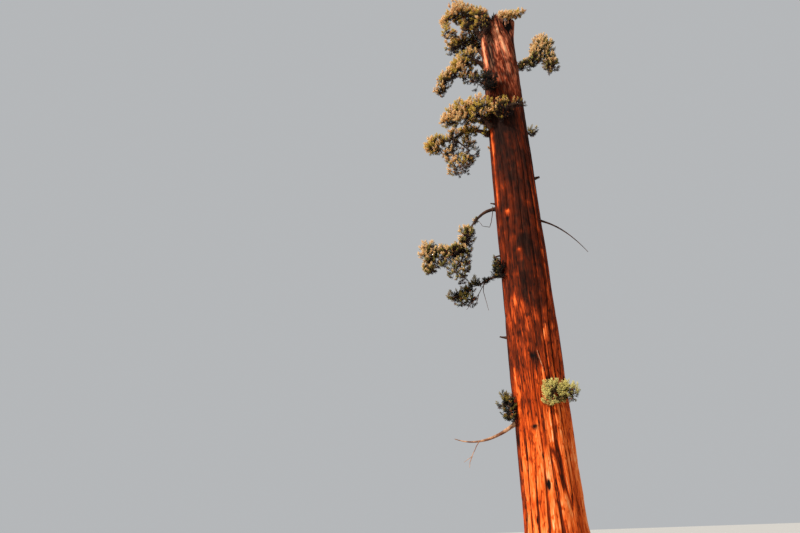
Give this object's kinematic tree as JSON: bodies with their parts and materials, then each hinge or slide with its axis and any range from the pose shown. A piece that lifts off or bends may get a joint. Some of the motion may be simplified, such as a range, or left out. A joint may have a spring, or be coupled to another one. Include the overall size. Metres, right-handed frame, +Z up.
{
  "type": "giant sequoia tree",
  "caption": "Tall giant sequoia with a fluted red trunk, a broken hollow top, short tapering boughs and knobbly clumps of foliage, rooted in the ground.",
  "frame": {"origin": "middle of the flat cut under the trunk, at ground level", "axes": "+Z up along the trunk; a person who faces the tree looks along +Y with +X on the right"},
  "size_m": [11.1358, 7.0521, 39.9733],
  "materials": {
    "trunk_bark": "fibrous red-brown bark, deeply furrowed, matte",
    "limb_bark": "grey-brown flaking bark and weathered dead wood, matte",
    "foliage": "golden olive sprays of small needles, matte"
  },
  "bodies": {
    "root": {"trunk": "trunk_bark", "bough_top_left": "limb_bark", "bough_upper_left": "limb_bark", "bough_middle_left": "limb_bark", "bough_lower_left": "limb_bark", "bough_hanging_left": "limb_bark", "bough_arching_left": "limb_bark", "bough_slim_left": "limb_bark", "bough_bare_low_left": "limb_bark", "bough_bare_right": "limb_bark", "bough_top_back": "limb_bark", "bough_upper_back": "limb_bark", "bough_middle_back": "limb_bark", "bough_lower_back": "limb_bark", "snag_left_high": "limb_bark", "snag_left_middle": "limb_bark", "snag_left_low": "limb_bark", "snag_right_high": "limb_bark", "snag_back_high": "limb_bark", "snag_back_low": "limb_bark", "foliage_top_left": "foliage", "foliage_upper_left": "foliage", "foliage_middle_left": "foliage", "foliage_lower_left": "foliage", "foliage_hanging_left": "foliage", "foliage_arching_left": "foliage", "foliage_slim_left": "foliage", "foliage_right": "foliage", "foliage_broken_top": "foliage", "foliage_front_upper": "foliage", "foliage_front_band": "foliage", "foliage_right_sprig": "foliage", "foliage_left_sprig": "foliage", "foliage_left_collar": "foliage", "foliage_low_right": "foliage", "foliage_low_left": "foliage", "foliage_top_back": "foliage", "foliage_upper_back": "foliage", "foliage_middle_back": "foliage", "foliage_lower_back": "foliage", "foliage_low_back": "foliage"}
  },
  "joints": []
}
